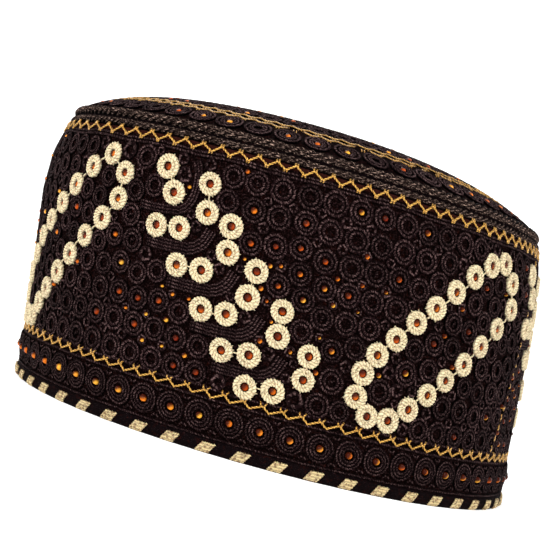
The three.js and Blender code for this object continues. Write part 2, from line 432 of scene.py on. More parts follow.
class Nodes:
    """A node tree with short ways to add nodes and link them."""

    def __init__(self, tree):
        self.tree = tree

    def put(self, value, socket):
        """Links a value to a socket, or sets a number or a colour."""
        if isinstance(value, (int, float)):
            socket.default_value = value
        elif isinstance(value, tuple):
            socket.default_value = (*value, 1.0)
        elif value is not None:
            self.tree.links.new(value, socket)

    def node(self, kind, inputs, **choices):
        node = self.tree.nodes.new("ShaderNode" + kind)
        for name, value in choices.items():
            setattr(node, name, value)
        for key, value in inputs.items():
            self.put(value, node.inputs[key])
        return node.outputs

    def math(self, operation, first, second=None, clamp=False):
        return self.node("Math", {0: first, 1: second}, operation=operation, use_clamp=clamp)[0]

    def times(self, first, second, clamp=False):
        return self.math("MULTIPLY", first, second, clamp)

    def above(self, value, threshold, gain):
        """How far a value lies above a threshold, times a gain, held between 0 and 1."""
        return self.times(self.math("SUBTRACT", value, threshold, True), gain, True)

    def noise(self, vector, scale, detail=2.0, roughness=0.5):
        inputs = {"Vector": vector, "Scale": scale, "Detail": detail, "Roughness": roughness}
        return self.node("TexNoise", inputs)["Fac"]

    def split(self, vector):
        return self.node("SeparateXYZ", {0: vector})

    def scaled(self, vector, by):
        return self.node("VectorMath", {0: vector, "Scale": by}, operation="SCALE")[0]


class Effect(Nodes):
    """A node group that finishes share. An input without a value is a vector."""

    def __init__(self, name, inputs, outputs):
        super().__init__(bpy.data.node_groups.new(name, "ShaderNodeTree"))
        for label, value in inputs.items():
            kind = "NodeSocketVector" if value is None else "NodeSocketFloat"
            socket = self.tree.interface.new_socket(label, in_out="INPUT", socket_type=kind)
            if value is not None:
                socket.default_value = value
        for label in outputs:
            self.tree.interface.new_socket(label, in_out="OUTPUT", socket_type="NodeSocketFloat")
        self.given = self.tree.nodes.new("NodeGroupInput").outputs
        self.made = self.tree.nodes.new("NodeGroupOutput").inputs

    def give(self, **values):
        for label, value in values.items():
            self.put(value, self.made[label])
        return self.tree


def twisted_thread():
    """Strands winding round a thread: height, the grooves between strands, loose fibres, and the outer side."""
    effect = Effect("twisted_thread", {"Thread UV": None, "Turns per mm": 0.8, "Strands": 2.0, "Fibre Size": 1.7},
                    ("Height", "Groove", "Fibre", "Crest"))
    given = effect.given
    uv = effect.split(given["Thread UV"])
    winding = effect.math("ADD", effect.times(uv["X"], given["Turns per mm"]),
                          effect.times(uv["Y"], given["Strands"]))
    wave = effect.math("ABSOLUTE", effect.math("SINE", effect.times(winding, math.pi)))
    strand = effect.math("POWER", wave, 0.6)
    stretched = effect.node("CombineXYZ", {0: effect.times(uv["X"], given["Fibre Size"]),
                                           1: effect.times(winding, 2.2)})
    fibre = effect.noise(stretched[0], 1.0, 3.0, 0.65)
    # The outer side, away from the cloth, and the grooves are masks that the finishes use for painted shade and
    # painted highlights.
    outer = effect.math("MAXIMUM", effect.math("SINE", effect.times(uv["Y"], TAU)), 0.0)
    return effect.give(Height=effect.math("ADD", effect.times(strand, 0.8), effect.times(fibre, 0.25)),
                       Groove=effect.math("SUBTRACT", 1.0, strand, True), Fibre=fibre,
                       Crest=effect.math("POWER", outer, 1.5))


def plain_weave():
    """Over-and-under threads of a plain weave, on UVs in centimetres."""
    effect = Effect("plain_weave", {"Cloth UV": None, "Threads per cm": 18.0}, ("Height", "Thread"))
    uv = effect.split(effect.given["Cloth UV"])
    waves = [effect.math("SINE", effect.times(effect.times(uv[axis], effect.given["Threads per cm"]), math.pi))
             for axis in ("X", "Y")]
    return effect.give(Height=effect.math("ABSOLUTE", effect.times(*waves)),
                       Thread=effect.noise(effect.given["Cloth UV"], 6.0, 4.0, 0.6))


def use_and_dust():
    """Broad unevenness of colour, and specks of light dust scattered over the surface."""
    effect = Effect("use_and_dust", {"Place": None, "Patch Size": 60.0}, ("Patches", "Dust"))
    place = effect.scaled(effect.given["Place"], effect.given["Patch Size"])
    return effect.give(Patches=effect.noise(place, 1.0, 3.0, 0.55),
                       Dust=effect.above(effect.noise(place, 14.0, 4.0, 0.7), 0.55, 3.0))


class Finish(Nodes):
    """A Principled material with small helpers to wire its colour, roughness and bump."""

    def __init__(self, name):
        self.material = bpy.data.materials.new(name)
        self.material.use_nodes = True
        super().__init__(self.material.node_tree)
        self.shader = self.tree.nodes["Principled BSDF"].inputs
        place = self.node("TexCoord", {})
        self.place, self.uv = place["Object"], place["UV"]

    def effect(self, maker, vector, **values):
        """One use of a shared node group, which is made the first time it is asked for."""
        group = bpy.data.node_groups.get(maker.__name__) or maker()
        inputs = {label.replace("_", " "): value for label, value in values.items()}
        return self.node("Group", {0: vector, **inputs}, node_tree=group)

    def tint(self):
        return self.node("Attribute", {}, attribute_name="tint")["Fac"]

    def ramp(self, factor, stops):
        node = self.tree.nodes.new("ShaderNodeValToRGB")
        self.put(factor, node.inputs[0])
        elements = node.color_ramp.elements
        while len(elements) < len(stops):
            elements.new(0.5)
        for element, (position, colour) in zip(elements, stops):
            element.position = position
            element.color = (*colour, 1.0)
        return node.outputs["Color"]

    def mix(self, factor, first, second):
        return self.node("Mix", {0: factor, 6: first, 7: second}, data_type="RGBA")[2]

    def spread(self, factor, low, high):
        return self.node("MapRange", {"Value": factor, "To Min": low, "To Max": high})["Result"]

    def finished(self, bump=None, depth=0.0, **values):
        """The material, with its shader's inputs and a bump of a height at a depth in millimetres."""
        for label, value in values.items():
            self.put(value, self.shader[label.replace("_", " ")])
        if bump is not None:
            bumped = self.node("Bump", {"Strength": 1.0, "Distance": depth * MM, "Height": bump})
            self.put(bumped["Normal"], self.shader["Normal"])
        return self.material


def cloth_finish(name, dark, light, stitched=False):
    """Woven cloth. Stitched cloth has thread showing between the rings, and a warm strip up at the seam."""
    finish = Finish(name)
    weave = finish.effect(plain_weave, finish.uv)
    use = finish.effect(use_and_dust, finish.place)
    colour = finish.mix(weave["Thread"], dark, light)
    colour = finish.mix(finish.times(use["Dust"], 0.8), colour, (0.040, 0.006, 0.003))
    if stitched:
        stitch = finish.above(finish.noise(finish.uv, 15.0, 3.0, 0.6), 0.52, 6.0)
        colour = finish.mix(stitch, colour, (0.024, 0.0105, 0.011))
        strip = finish.above(finish.split(finish.uv)["Y"], 8.84, 20.0)
        colour = finish.mix(finish.times(strip, 0.7), colour, (0.036, 0.009, 0.006))
    return finish.finished(weave["Height"], 0.12, Base_Color=colour, Specular_IOR_Level=0.01,
                           Roughness=finish.spread(weave["Thread"], 0.65, 0.9))


def cord_finish(name, dark, light, painted_glint, turns=0.8, strands=2.0, depth=0.3, gloss=0.015, fibre=1.7):
    """Twisted cord, with painted shade between its strands and at its foot, and painted highlights of pale glints on
    its outer side.
    """
    finish = Finish(name)
    thread = finish.effect(twisted_thread, finish.uv, Turns_per_mm=turns, Strands=strands, Fibre_Size=fibre)
    use = finish.effect(use_and_dust, finish.place)
    colour = finish.mix(finish.spread(thread["Fibre"], 0.0, 1.0), dark, light)
    # Painted highlights: pale glints on the fibres of the outer side.
    painted_highlight_spots = finish.above(thread["Fibre"], 0.52, 5.0)
    colour = finish.mix(finish.times(painted_highlight_spots, thread["Crest"]), colour, painted_glint)
    # Painted shade: darker in the grooves between the strands.
    colour = finish.mix(finish.times(thread["Groove"], 0.8), colour, tuple(c * 0.25 for c in dark))
    # Painted shade: darker towards the cord's foot, away from its outer side.
    colour = finish.mix(thread["Crest"], tuple(c * 0.3 for c in dark), colour)
    colour = finish.scaled(colour, finish.spread(finish.tint(), 0.7, 1.35))
    colour = finish.mix(finish.times(use["Dust"], 0.06), colour, (0.13, 0.075, 0.06))
    return finish.finished(thread["Height"], depth, Base_Color=colour, Specular_IOR_Level=gloss,
                           Roughness=finish.spread(thread["Fibre"], 0.7, 0.92))


def cream_finish(name, pit_width=0.36, pit_shade=0.8, dark=(0.66, 0.53, 0.28), light=(0.88, 0.78, 0.52)):
    """Cream cotton with small pits between its stitches, which are darkened with painted shade, as are the grooves
    between its strands.
    """
    finish = Finish(name)
    thread = finish.effect(twisted_thread, finish.uv, Turns_per_mm=0.9, Strands=2.0, Fibre_Size=2.0)
    use = finish.effect(use_and_dust, finish.place, Patch_Size=90.0)
    colour = finish.mix(thread["Fibre"], dark, light)
    pits = finish.node("TexVoronoi", {"Scale": 980.0, "Vector": finish.place})
    pit = finish.above(pit_width, pits["Distance"], 5.0)
    # Painted shade: darker in the grooves between strands and in the pits.
    broken = finish.times(thread["Groove"], finish.spread(thread["Fibre"], 0.0, 1.5))
    deep = finish.math("MAXIMUM", finish.times(broken, 0.9, True), finish.times(pit, pit_shade))
    colour = finish.mix(deep, colour, (0.24, 0.13, 0.045))
    colour = finish.mix(finish.times(use["Patches"], 0.25), colour, (0.88, 0.70, 0.52))
    return finish.finished(finish.math("SUBTRACT", thread["Height"], finish.times(pit, 0.8)), 0.4,
                           Base_Color=colour, Roughness=finish.spread(thread["Fibre"], 0.55, 0.85),
                           Specular_IOR_Level=0.25, Subsurface_Weight=0.05, Subsurface_Scale=0.001)


def gold_finish(name):
    """Metallic thread wound on a core, with dull specks where the core shows, and painted shade in the grooves
    between its strands.
    """
    finish = Finish(name)
    thread = finish.effect(twisted_thread, finish.uv, Turns_per_mm=0.8, Strands=2.0, Fibre_Size=1.9)
    colour = finish.mix(thread["Fibre"], (0.60, 0.22, 0.01), (1.0, 0.62, 0.12))
    colour = finish.mix(finish.times(finish.tint(), 0.3), colour, (0.92, 0.66, 0.26))
    # Painted shade: darker in the grooves between strands.
    colour = finish.mix(finish.times(thread["Groove"], 1.3, True), colour, (0.07, 0.02, 0.003))
    colour = finish.mix(finish.above(0.48, thread["Fibre"], 7.0), colour, (0.20, 0.055, 0.006))
    return finish.finished(thread["Height"], 0.25, Base_Color=colour,
                           Metallic=finish.spread(thread["Fibre"], 0.3, 0.8),
                           Roughness=finish.spread(thread["Fibre"], 0.42, 0.22))


def stone_finish(name):
    """Amber glass, from dark red to yellow by the tint, with painted shade on one side and painted light on the
    other, and a faint glow of painted light.
    """
    finish = Finish(name)
    cloudy = finish.noise(finish.place, 900.0, 2.0)
    colour = finish.ramp(finish.tint(), [(0.0, (0.16, 0.012, 0.004)), (0.4, (0.50, 0.075, 0.006)),
                                         (0.75, (0.85, 0.22, 0.015)), (1.0, (1.0, 0.48, 0.05))])
    uv = finish.split(finish.uv)
    # Painted light and shade: a gradient across the stone, darkest towards one side and full colour towards the
    # other.
    painted_light_and_shade = finish.times(finish.math("SUBTRACT", uv["X"], uv["Y"]), 1.35)
    painted_light_and_shade = finish.math("POWER", finish.math("ADD", painted_light_and_shade, 0.36, True), 1.7)
    colour = finish.mix(finish.times(cloudy, 0.35), colour, (0.10, 0.012, 0.004))
    colour = finish.mix(painted_light_and_shade, (0.040, 0.006, 0.002), colour)
    # The emission of the stone's own colour is a glow of painted light.
    return finish.finished(cloudy, 0.05, Base_Color=colour, Roughness=finish.spread(cloudy, 0.06, 0.16),
                           Specular_IOR_Level=0.07, Emission_Color=colour, Emission_Strength=0.3, IOR=1.54)


def floor_finish(name):
    finish = Finish(name)
    grain = finish.noise(finish.place, 3.0, 2.0)
    return finish.finished(Base_Color=finish.mix(grain, (0.90, 0.90, 0.90), (0.93, 0.93, 0.93)), Roughness=0.85,
                           Specular_IOR_Level=0.1, Emission_Color=(1.0, 1.0, 1.0), Emission_Strength=0.45)


FINISHES = {
    "wall_cloth": partial(cloth_finish, dark=(0.0006, 0.0001, 0.0001), light=(0.004, 0.0014, 0.0012),
                          stitched=True),
    "lining": partial(cloth_finish, dark=(0.02, 0.011, 0.009), light=(0.045, 0.025, 0.02)),
    "binding_satin": partial(cloth_finish, dark=(0.001, 0.0004, 0.0005), light=(0.007, 0.004, 0.0045)),
    # The pale glints given to the cords below are painted highlights.
    "black_cord": partial(cord_finish, dark=(0.001, 0.0003, 0.0003), light=(0.018, 0.0072, 0.0083),
                          painted_glint=(0.24, 0.142, 0.135)),
    # The crown's cord is a lighter copy of the black cord, with brighter glints: painted sheen on the crown's slope.
    "crown_cord": partial(cord_finish, dark=(0.001, 0.0003, 0.0003), light=(0.030, 0.0135, 0.0155),
                          painted_glint=(0.42, 0.26, 0.25), gloss=0.01),
    "piping_twist": partial(cord_finish, dark=(0.001, 0.0004, 0.0003), light=(0.023, 0.0105, 0.0088),
                            painted_glint=(0.80, 0.54, 0.43), turns=0.5, strands=5.0, depth=0.35, gloss=0.03, fibre=1.0),
    "cream_cotton": cream_finish,
    # The stripes get wider pits with stronger painted shade.
    "stripe_cotton": partial(cream_finish, pit_width=0.5, pit_shade=1.0, dark=(0.52, 0.37, 0.14),
                             light=(0.82, 0.68, 0.36)),
    "gold_lurex": gold_finish,
    "amber_glass": stone_finish,
    "pale_floor": floor_finish,
}


def finish_named(name):
    return bpy.data.materials.get(name) or FINISHES[name](name)


# Sizes a user would change.

def length_setting(name, description, millimetres):
    return FloatProperty(name=name, description=description, default=millimetres * MM, unit="LENGTH")


class SKULLCAP_PG_settings(bpy.types.PropertyGroup):
    ring_pitch: length_setting("Ring spacing", "Distance between the black rings of the wall", 8.1)
    black_ring: length_setting("Black ring radius", "Radius to the middle of the outer black cord", 3.3)
    black_cord: length_setting("Black cord radius", "Half the thickness of the black cords", 0.5)
    cream_ring: length_setting("Cream ring radius", "Radius to the middle of the outer cream cord", 3.05)
    stone: length_setting("Stone radius", "Radius of an amber stone", 1.2)
    gold_thread: length_setting("Gold thread radius", "Half the thickness of the gold thread", 0.31)
    border_rings: IntProperty(name="Border rings", description="Number of large rings in the lower border",
                              default=61)
    stripes: IntProperty(name="Rim stripes", description="Number of cream stripes round the binding", default=51)
    seed: IntProperty(name="Seed", description="Start of the small irregularities", default=7)


def settings():
    return bpy.context.scene.skullcap


# Where the rings go.

def cream_motifs():
    """Each cream motif: its name, ring centres, the pairs of rings tied together, and its solids."""
    for name, table, turn in LOOPS:
        count = len(table)
        yield (f"cream_loop_{name}", turned_by(table, turn), [(a, (a + 1) % count) for a in range(count)],
               [f"ring_loop_{name}"])
    for name, turn in SCROLLS:
        pairs = range(len(SCROLL))
        yield (f"cream_scroll_{name}", turned_by(np.reshape(SCROLL, (-1, 2)), turn),
               [(2 * a, 2 * a + 1) for a in pairs], [f"ring_pair_{name}_{a + 1:02d}" for a in pairs])


def turned_by(rings, degrees):
    return np.array(rings) + [math.radians(degrees) * CAP_RADIUS, 0.0]


def echo_paths():
    """Parallel cords that run under each level pair of the scroll and turn up beside the upright pairs."""
    bundles = [([(-50, 67.6), (-40, 67.8), (-34.5, 69.0), (-31.8, 73.5), (-31.6, 80.0), (-33.0, 84.2)],
                (-1.2, -0.2, 0.8))]
    for pair in SCROLL[7::-2]:
        x, y = np.mean(pair, axis=0)
        bundles.insert(0, ([(x - 6.5, y - 5.3), (x + 1, y - 5.4), (x + 8, y - 5.0), (x + 12.4, y - 2.4),
                            (x + 14.6, y + 2.0)], (-1.55, -0.55, 0.45, 1.45)))
    return [turned_by(offset_path(smooth_path(corners), by), turn)
            for _, turn in SCROLLS for corners, offsets in bundles for by in offsets]


def wrapped_gap(first, second):
    gap = first - second
    gap[..., 0] = (gap[..., 0] + ROUND / 2) % ROUND - ROUND / 2
    return gap


def distances(first, second):
    return np.linalg.norm(wrapped_gap(first[:, None], second[None]), axis=2)


def stone_clusters(places):
    """How thickly the stones lie, with two clusters beside each scroll: 0 to 1."""
    share = np.zeros(len(places))
    for middle, up, wide, high in ((7.0, 58.0, 17.0, 19.0), (-37.0, 35.0, 12.0, 11.0)):
        gap = (places[:, 0] - middle + ROUND / 8) % (ROUND / 4) - ROUND / 8
        share += np.exp(-(gap / wide) ** 2 - ((places[:, 1] - up) / high) ** 2)
    return np.minimum(share, 1.0)


def pushed(rings, others, reach):
    """The moves that would carry each ring out of the reach of the others."""
    gap = wrapped_gap(rings[:, None], others[None])
    distance = np.linalg.norm(gap, axis=2)
    push = np.maximum(reach - distance, 0) / np.maximum(distance, 1e-6)
    return (gap * push[..., None]).sum(1)


def spread_apart(rings, fixed, reach, steps):
    """Pushes the rings clear of what is fixed and of each other."""
    for _ in range(steps):
        move = pushed(rings, fixed, reach) * 0.5 + pushed(rings, rings, RING_CLEARANCE) * 0.25
        rings = rings + np.clip(move, -0.6, 0.6)
        rings[:, 1] = np.clip(rings[:, 1], FIELD_LOW, FIELD_HIGH)
    return rings


def without_overlaps(rings, fixed, reach, touching):
    """The rings that lie free, each weighed against those kept before it."""
    kept = []
    for ring in rings[(distances(rings, fixed) > reach * 0.9).all(1)]:
        if not kept or distances(ring[None], np.array(kept)).min() > touching:
            kept.append(ring)
    return np.array(kept)


def field_centres(pitch, rng):
    """Black rings in rows round the wall, with more of them where the cream rings and cords left room."""
    columns = int(round(ROUND / pitch))
    along = (np.arange(columns) - columns / 2) * ROUND / columns
    rings = np.stack(np.meshgrid(along, np.linspace(FIELD_LOW, FIELD_HIGH, FIELD_ROWS)), axis=-1).reshape(-1, 2)
    rings += rng.normal(0, 0.22, rings.shape)
    cream = np.vstack([centres for _, centres, _, _ in cream_motifs()])
    cords = np.vstack([path[::2] for path in echo_paths()])
    fixed = np.vstack([cream, cords])
    reach = np.repeat([CREAM_CLEARANCE, CORD_CLEARANCE], [len(cream), len(cords)])
    rings = rings[(distances(rings, fixed) > reach * 0.62).all(1)]
    rings = without_overlaps(spread_apart(rings, fixed, reach, 50), fixed, reach, 7.0)
    for room in (3.0, 2.6, 2.4):
        more = hole_centres(rings, fixed, reach, room)
        if len(more):
            rings = np.vstack([rings, more[:, :2]])
            rings = without_overlaps(spread_apart(rings, fixed, reach, 24), fixed, reach, 6.7)
    return rings, fixed, reach


def hole_centres(rings, fixed, reach, radius, step=0.8, batch=4000):
    """Places left free between the rings, largest first: along, up and room."""
    along, up = np.arange(-ROUND / 2, ROUND / 2, step), np.arange(19.9, 85.6, step)
    spots = np.stack(np.meshgrid(along, up), axis=-1).reshape(-1, 2)
    room = np.minimum(spots[:, 1] - 18.9, 86.3 - spots[:, 1])
    for start in range(0, len(spots), batch):
        part = spots[start:start + batch]
        free = np.minimum(distances(part, rings).min(1) - RING_REACH,
                          (distances(part, fixed) - (reach - RING_REACH)).min(1))
        room[start:start + batch] = np.minimum(room[start:start + batch], free)
    spots, room = spots[room >= radius], room[room >= radius]
    found = []
    while len(spots):
        best = int(np.argmax(room))
        place, free = spots[best], room[best]
        found.append((*place, min(free, RING_REACH)))
        clear = distances(spots, place[None])[:, 0] > free + room
        spots, room = spots[clear], room[clear]
    return np.array(found).reshape(-1, 3)


def whole_round(points=360):
    return np.linspace(-ROUND / 2, ROUND / 2, points + 1)[:-1]


# Operators, one for each piece or group.

class SKULLCAP_OT_cloth_bands(bpy.types.Operator):
    """The bands of cloth under the embroidery: wall, lower border and crown"""
    bl_idname = "skullcap.cloth_bands"
    bl_label = "Cloth bands"

    def execute(self, context):
        outer = [(17.2, 88.6), (17.2, 89.9), *self.outer_rows(np.linspace(17.6, 89.6, 25))]
        inner = [(90.0, 88.9), (90.0, 87.2), (66.0, 88.3), (40.0, 88.4)]
        self.finish_band(turned_band("wall_cloth", outer + inner), "side_wall")

        rows = [(4.6, 88.6), (4.6, 90.2), *self.outer_rows((5.2, 6.3, 8.0, 10.5, 13.0, 14.5, 16.2)),
                (17.3, 89.7), (17.3, 88.8)]
        self.finish_band(turned_band("border_cloth", rows), "lower_border")

        under = [(float(crown_height(r)) - 2.2, r) for r in (3.0, 30.0, 56.0, 74.0, 80.0, 83.2)]
        skirt = [(93.3, 85.3), (93.3, 86.9), (94.9, 86.9)]
        top = [(float(crown_height(r)), r) for r in (86.5, 85.2, 83.0, 80.0, 74.0, 66.0, 56.0, 44.0, 30.0, 15.0, 3.0)]
        crown = turned_band("crown_cloth", under + skirt + top, 96, True)
        self.finish_band(crown, "crown_panel", "crown")
        return {"FINISHED"}

    def outer_rows(self, heights):
        return [(float(z), float(cloth_radius(z))) for z in heights]

    def finish_band(self, band, node, laid="wall"):
        """The faces that look inwards get the lining."""
        dress_band(band, laid, "embroidered_cloth", [node], "wall_cloth", "lining")
        foot = loop_centre(0)
        for face in band.data.polygons:
            middle = face.center
            outward = middle - (foot + Vector((LEAN * middle.z, 0, middle.z)))
            outward.z = 0
            facing = face.normal.dot(outward) if laid == "wall" else face.normal.z
            face.material_index = int(facing < 0)


class SKULLCAP_OT_wall_rings(bpy.types.Operator):
    """The field of black double rings on the wall, with the cords that follow the scrolls"""
    bl_idname = "skullcap.wall_rings"
    bl_label = "Black rings of the wall"

    def execute(self, context):
        s = settings()
        rng = np.random.default_rng(s.seed)
        rings, fixed, reach = field_centres(s.ring_pitch / MM, rng)
        self.rings(s, rng, rings, fixed, reach)
        self.cords(rng)
        self.stones(s, rng, rings, fixed, reach)
        return {"FINISHED"}

    def rings(self, s, rng, rings, fixed, reach):
        holes = hole_centres(rings, fixed, reach, 1.25)
        radius, thick = s.black_ring / MM, s.black_cord / MM
        count = len(rings)
        turn = rng.uniform(0, TAU, count)
        nearest = distances(rings, rings) + np.eye(count) * 99
        beside = (distances(rings, fixed) - (reach - RING_REACH)).min(1)
        room = np.minimum(np.sort(nearest, axis=1)[:, :2].mean(1) / 2, beside)
        size = np.clip(room / RING_REACH, 0.86, 1.1) * rng.normal(1.0, 0.015, count)
        tint = rng.uniform(0.1, 0.9, count)
        places = side_by_side(rings, rng.uniform(-0.08, 0.12, count), turn, size)
        outer, inner = Threads(), Threads()
        outer.stamp(cord_ring(radius, thick, 20, 4, CORD_OUT, WALL_LUMPS), places, tint)
        outer.piece("wall_rings_outer", on_wall, "black_cord", "embroidered_cloth")
        inner.stamp(cord_ring(radius - TURN_STEP, thick, 14, 4, CORD_OUT, WALL_LUMPS), places, tint)
        knots = rng.uniform(size=count) < 0.3
        knot = tube([(-0.8, -0.2, 0.3), (-0.3, 0.15, 0.5), (0.3, -0.1, 0.5), (0.8, 0.2, 0.3)], 0.34, 4)
        inner.stamp(knot, places[knots], tint[knots])
        big = holes[holes[:, 2] > 1.45]
        spots = side_by_side(big[:, :2], 0.0, rng.uniform(0, TAU, len(big)), big[:, 2])
        inner.stamp(cord_ring(0.72, 0.3, 10, 4, 0.3), spots, rng.uniform(0.1, 0.9, len(big)))
        inner.piece("wall_rings_inner", on_wall, "black_cord", "embroidered_cloth")

    def cords(self, rng):
        cords = Threads()
        for path in echo_paths():
            wave = rng.normal(0, 0.05, len(path))
            cords.add(tube(side_by_side(path[:, 0], path[:, 1] + wave, CORD_OUT), 0.47, 6), rng.uniform(0.2, 0.8))
        for height, radius in ((86.4, 0.45), (87.5, 0.42), (18.9, 0.4)):
            along = whole_round()
            up = height + 0.25 * np.sin(along / ROUND * TAU * 21) + rng.normal(0, 0.06, len(along))
            cords.add(ring_cord(side_by_side(along, up, 0.33), radius))
        cords.piece("echo_cords", on_wall, "black_cord", "embroidered_cloth")

    def stones(self, s, rng, rings, fixed, reach):
        """Small stones in the gaps between the rings, and larger ones inside some rings."""
        stones = Threads()
        shape = stone_shape(s.stone / MM * 0.72, 0.95, 8)
        gaps = hole_centres(rings, fixed, reach, 0.85)[:, :2]
        picked = gaps[rng.uniform(size=len(gaps)) < 0.06 + 0.85 * stone_clusters(gaps)]
        count = len(picked)
        stones.stamp(shape, side_by_side(picked, 0.25, 0.0, rng.uniform(0.5, 0.95, count)),
                     rng.uniform(0.55, 1.0, count))
        held = rings[rng.uniform(size=len(rings)) < 0.16 + 0.6 * stone_clusters(rings)]
        count = len(held)
        stones.stamp(shape, side_by_side(held, 0.1, 0.0, rng.uniform(0.95, 1.2, count)),
                     rng.uniform(0.0, 1.0, count))
        stones.piece("wall_stones", on_wall, "amber_glass", "amber_stone")


class SKULLCAP_OT_cream_motifs(bpy.types.Operator):
    """The cream rings of the loops and scrolls, with their tie threads and stones"""
    bl_idname = "skullcap.cream_motifs"
    bl_label = "Cream rings"

    def execute(self, context):
        s = settings()
        rng = np.random.default_rng(s.seed + 1)
        shapes = [self.ring_shape(rng, s.cream_ring / MM) for _ in range(4)]
        stone = stone_shape(s.stone / MM, 1.0)
        stones = Threads()
        for name, rings, ties, nodes in cream_motifs():
            self.motif(rng, shapes, name, rings, ties, nodes)
            count = len(rings)
            stones.stamp(stone, side_by_side(rings, 0.05, rng.uniform(-0.6, 0.6, count),
                                             rng.uniform(0.93, 1.05, count)), rng.uniform(0.1, 0.72, count))
        stones.piece("cream_ring_stones", on_wall, "amber_glass", "amber_stone")
        return {"FINISHED"}

    def ring_shape(self, rng, radius):
        """Two lumpy turns of thread with small tips standing out of the edge."""
        ring = Threads()
        ring.add(cord_ring(radius, 0.7, 44, 6, out=0.72, lumps=0.17, squash=1.15))
        ring.add(cord_ring(radius - 1.1, 0.54, 28, 6, out=0.84, lumps=0.16, squash=1.2))
        for turn in rng.uniform(0, TAU, 7):
            tip = 0.7 + rng.uniform(0.25, 0.6)
            path = [at_angle(radius + out, turn + bend, up)
                    for out, up, bend in ((0.2, 0.9, 0.0), (0.6, 0.7, 0.03), (tip, 0.45, 0.05))]
            ring.add(tube(path, [0.26, 0.24, 0.12], 4))
        return ring.shape()

    def motif(self, rng, shapes, name, rings, ties, nodes):
        cream = Threads()
        kind = rng.integers(0, len(shapes), len(rings))
        for index, shape in enumerate(shapes):
            these = rings[kind == index]
            count = len(these)
            cream.stamp(shape, side_by_side(these, rng.uniform(-0.05, 0.05, count), rng.uniform(0, TAU, count),
                                            rng.normal(0.985, 0.02, count)), rng.uniform(0.3, 0.7, count))
        for a, b in ties:
            start, end = rings[a], rings[b]
            ahead = (end - start) / max(np.linalg.norm(end - start), 1e-6)
            side = np.array([-ahead[1], ahead[0]]) * rng.uniform(-0.8, 0.8)
            middle = (start + end) / 2 + side
            path = [(*(middle + ahead * far), up) for far, up in ((-1.0, 0.7), (-0.3, 0.95), (0.3, 0.95), (1.0, 0.7))]
            cream.add(tube(path, [0.2, 0.22, 0.22, 0.2], 4))
        cream.piece(name, on_wall, "cream_cotton", "cream_thread", *nodes)


class SKULLCAP_OT_gold_lines(bpy.types.Operator):
    """The couched gold zigzags at the wall's head and foot, and the broken gold line of the join"""
    bl_idname = "skullcap.gold_lines"
    bl_label = "Gold zigzags"

    def execute(self, context):
        rng = np.random.default_rng(settings().seed + 2)
        radius = settings().gold_thread / MM
        upper, lower = Threads(), Threads()
        self.zigzag(upper, rng, radius, UPPER_ZIGZAG, 2.0, 0.5, True, long_stitches=0.35)
        upper.piece("gold_zigzag_upper", on_wall, "gold_lurex", "gold_thread")
        self.zigzag(lower, rng, radius, LOWER_ZIGZAG, 1.7, 0.65, False)
        for up in np.arange(20.5, 86, 3.6):
            along = JOIN_ALONG + (up - 20) * 0.28 + rng.normal(0, 0.25)
            path = [(along - 0.2, up - 1.2, 0.45), (along, up, 0.7), (along + 0.3, up + 1.2, 0.45)]
            lower.add(tube(path, radius * 0.8, 4), rng.uniform())
        lower.piece("gold_zigzag_lower", on_wall, "gold_lurex", "gold_thread")
        return {"FINISHED"}

    def zigzag(self, gold, rng, radius, height, depth, lean_share, both_ways, long_stitches=0.0):
        """One thread up and down between corners, with two short ticks at the corners."""
        turn = np.arange(ZIGZAG_STITCHES) / ZIGZAG_STITCHES * 360
        pitches = 1 + long_stitches * np.exp(-((turn - 112) / 34) ** 2)
        pitches *= ROUND / pitches.sum()
        line = []
        for start, pitch in zip(np.cumsum(pitches) - pitches - ROUND / 2, pitches):
            wander = rng.normal(0, 0.08, 2)
            low = np.array([start, height - depth / 2 + wander[0]])
            high = np.array([start + pitch * lean_share, height + depth / 2 + wander[1]])
            after = np.array([start + pitch, height - depth / 2])
            for a, b in ((low, high), (high, after)):
                steps = 2 * round(np.linalg.norm(b - a) / 0.9)
                line += [(*(a + (b - a) * step / steps), 0.62) for step in range(steps)]
            self.ticks(gold, rng, high, 1, radius, 1.0 if both_ways else 1.6)
            if both_ways:
                self.ticks(gold, rng, low, -1, radius)
        width = radius * (1 + 0.24 * np.cos(np.arange(len(line) + 1) * math.pi))
        gold.add(ring_cord(np.array(line), width, 6, 0.9), 0.4)

    def ticks(self, gold, rng, corner, way, radius, spread=1.0):
        for side in (-0.42, 0.42):
            long = rng.uniform(0.6, 0.85) * spread
            tilt = way * (rng.normal(0.3, 0.1) + side * (spread - 1) * 2.5)
            path = [(corner[0] + side, corner[1] - way * 0.3, 0.8),
                    (corner[0] + side + tilt * 0.5, corner[1] + way * long * 0.5, 0.76),
                    (corner[0] + side + tilt, corner[1] + way * long, 0.5)]
            gold.add(tube(path, [radius * 0.85, radius * 0.85, radius * 0.7], 4), rng.uniform())


